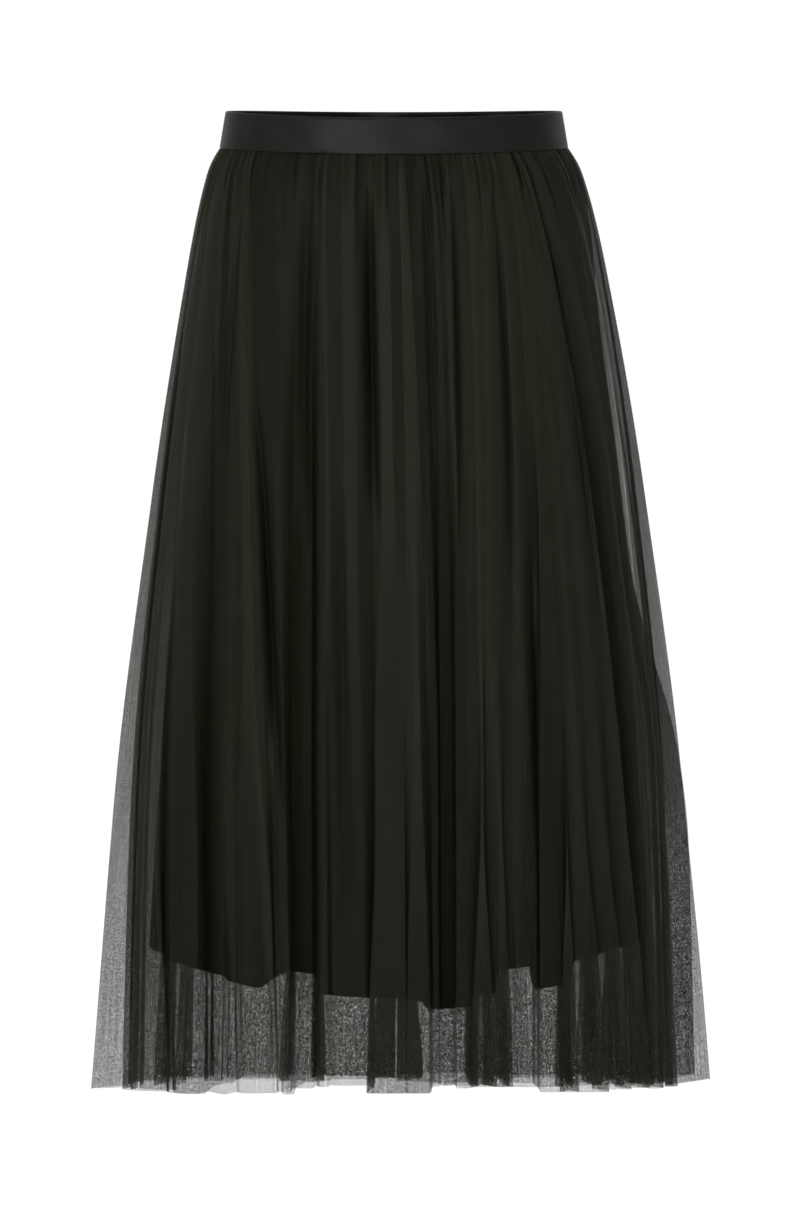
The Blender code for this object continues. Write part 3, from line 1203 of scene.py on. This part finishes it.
SATIN = WovenFinish(
    slot=Slot.SATIN,
    colour=(0.0037, 0.0038, 0.0029),
    deep_colour=(0.0028, 0.0029, 0.0021),
    threads_per_metre=4200.0,
    float_length=5.0,
    roughness=0.40,
    specular=0.065,
    anisotropy=0.5,
    relief=0.00003,
)
LINING_CLOTH = WovenFinish(
    slot=Slot.LINING,
    colour=(0.0018, 0.0020, 0.0006),
    deep_colour=(0.0012, 0.0014, 0.0004),
    threads_per_metre=3200.0,
    float_length=1.0,
    roughness=0.62,
    specular=0.02,
    anisotropy=0.0,
    relief=0.00003,
    # painted shade deep in the lining's folds
    fold_shade_colour=(0.0011, 0.0014, 0.0001),
)


# ---------------------------------------------------------------------------------------------- studio


@dataclass
class Studio:
    """A plain pale floor, a white sky, soft lamps and the camera."""

    lens_distance: float = 24.0
    frame_height: float = 0.9877
    aim: tuple[float, float, float] = (0.005, 0.0, -0.388)
    camera_height: float = 0.60
    floor_level: float = -1.03
    floor_size: float = 300.0
    floor_tone: float = 0.93
    sky: float = 1.1
    key_place: tuple[float, float, float] = (-1.5, -3.6, 0.8)
    key_size: tuple[float, float] = (1.0, 2.6)
    key_watts: float = 150.0
    fill_place: tuple[float, float, float] = (1.6, -4.0, 0.6)
    fill_size: tuple[float, float] = (2.4, 2.4)
    fill_watts: float = 50.0

    def floor(self) -> None:
        """Lay the floor."""
        half = self.floor_size / 2
        corners = [(-half, -half), (half, -half), (half, half), (-half, half)]
        mesh = bpy.data.meshes.new("floor")
        mesh.from_pydata([(x, y, self.floor_level) for x, y in corners], [], [(0, 1, 2, 3)])
        material, graph, shader = new_material("floor")
        tone = (self.floor_tone, self.floor_tone, self.floor_tone, 1.0)
        graph.fix(shader, Base_Color=tone, Roughness=0.9, Specular_IOR_Level=0.0)
        mesh.materials.append(material)
        place("floor", mesh)

    def lamp(self, name: str, spot: Sequence[float], size: Sequence[float], watts: float) -> None:
        """Hang a soft lamp that faces the skirt.

        Args:
            name: The lamp's name.
            spot: Where it hangs.
            size: Its width and height.
            watts: Its power.
        """
        light = bpy.data.lights.new(name, "AREA")
        light.shape = "RECTANGLE"
        light.size, light.size_y = size
        light.energy = watts
        lamp = place(name, light)
        lamp.location = spot
        lamp.rotation_euler = (Vector(self.aim) - Vector(spot)).to_track_quat("-Z", "Y").to_euler()
        lamp.visible_camera = False

    def world(self) -> None:
        """Light the scene from a white sky."""
        world = bpy.data.worlds.new("studio")
        world.use_nodes = True
        sky = world.node_tree.nodes["Background"]
        Graph(world.node_tree).fix(sky, Color=(1.0, 1.0, 1.0, 1.0), Strength=self.sky)
        bpy.context.scene.world = world

    def camera(self) -> None:
        """Place the camera."""
        data = bpy.data.cameras.new("camera")
        data.lens = data.sensor_width * self.lens_distance / self.frame_height
        data.clip_end = 250.0
        camera = place("camera", data)
        camera.location = (self.aim[0], -self.lens_distance, self.camera_height)
        camera.rotation_euler = (Vector(self.aim) - camera.location).to_track_quat("-Z", "Y").to_euler()
        bpy.context.scene.camera = camera

    def build(self) -> None:
        """Set up the studio."""
        self.world()
        self.floor()
        self.lamp("key", self.key_place, self.key_size, self.key_watts)
        self.lamp("fill", self.fill_place, self.fill_size, self.fill_watts)
        self.camera()
        scene = bpy.context.scene
        scene.view_settings.view_transform = "Standard"
        scene.cycles.transparent_max_bounces = 64


# ------------------------------------------------------------------------------------------------ main

TULLE_OUTER = Layer(
    piece="tulle_outer",
    slot=Slot.TULLE,
    flare=TULLE_FLARE,
    step_in=0.0010,
    side_length=0.772,
    middle_length=0.763,
    fold_share=1.0,
    side_flute=0.0225,
    right_flute=0.003,
    right_start=0.65,
    gather_share=1.0,
    right_tuck=0.0,
    grain=(0.0, 30.0),
    lift_column="lift",
    back_drop=0.010,
    cut_top=0.70,
)
TULLE_INNER = replace(
    TULLE_OUTER,
    piece="tulle_inner",
    step_in=0.0020,
    side_length=0.768,
    middle_length=0.760,
    fold_share=0.75,
    side_flute=0.0,
    right_flute=0.0205,
    right_start=0.45,
    gather_share=0.8,
    right_tuck=0.011,
    grain=(15.0, 45.0),
    lift_column="inner_lift",
    back_drop=0.008,
    cut_top=0.58,
)
LINING = Layer(
    piece="lining",
    slot=Slot.LINING,
    flare=LINING_FLARE,
    step_in=0.0032,
    side_length=0.656,
    middle_length=0.686,
    fold_share=1.0,
    side_flute=0.0,
    right_flute=0.0,
    right_start=0.0,
    gather_share=0.5,
    right_tuck=0.004,
    grain=(0.0, 0.0),
    lift_column="lift",
    back_drop=0.0,
    cut_top=0.45,
    wall=0.0006,
    rows=90,
    columns_per_edge=9,
)


def main() -> None:
    """Build the skirt, dress it and set up the studio."""
    logging.basicConfig(level=logging.INFO, format="%(name)s: %(message)s")
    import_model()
    weave, net = weave_group(), net_group()
    satin = SATIN.material(weave)
    lining = LINING_CLOTH.material(weave)
    tulle = TulleFinish().material(net)
    waistband = Waistband(satin)
    for strip in waistband.build():
        LOG.info("%s: %d faces", strip.name, len(strip.data.polygons))
    band = BandForm.from_frame()
    stitches = SeamStitches(ThreadFinish().material())
    waist_seam = stitches.along("waist_seam_stitches", [waistband.seam_line(band)], closed=True)
    LOG.info("%s: %d faces", waist_seam.name, len(waist_seam.data.polygons))
    plans = (
        (TULLE_OUTER, Side.FRONT, FRONT_FLUTES, tulle),
        (TULLE_OUTER, Side.BACK, BACK_FLUTES, tulle),
        (TULLE_INNER, Side.FRONT, FRONT_FLUTES, tulle),
        (TULLE_INNER, Side.BACK, BACK_FLUTES, tulle),
        (LINING, Side.FRONT, LINING_FLUTES, lining),
        (LINING, Side.BACK, LINING_FLUTES.mirrored(), lining),
    )
    for layer, side, pleating, finish in plans:
        cloth = ClothPanel(layer, side, pleating, band)
        trims = []
        if layer is TULLE_OUTER and side is Side.FRONT:
            trims.append(stitches.along("side_seam_stitches", cloth.side_lines(), closed=False))
        panel = cloth.build(finish, trims)
        LOG.info("%s: %d faces", panel.name, len(panel.data.polygons))
    Studio().build()


if __name__ == "__main__":
    main()
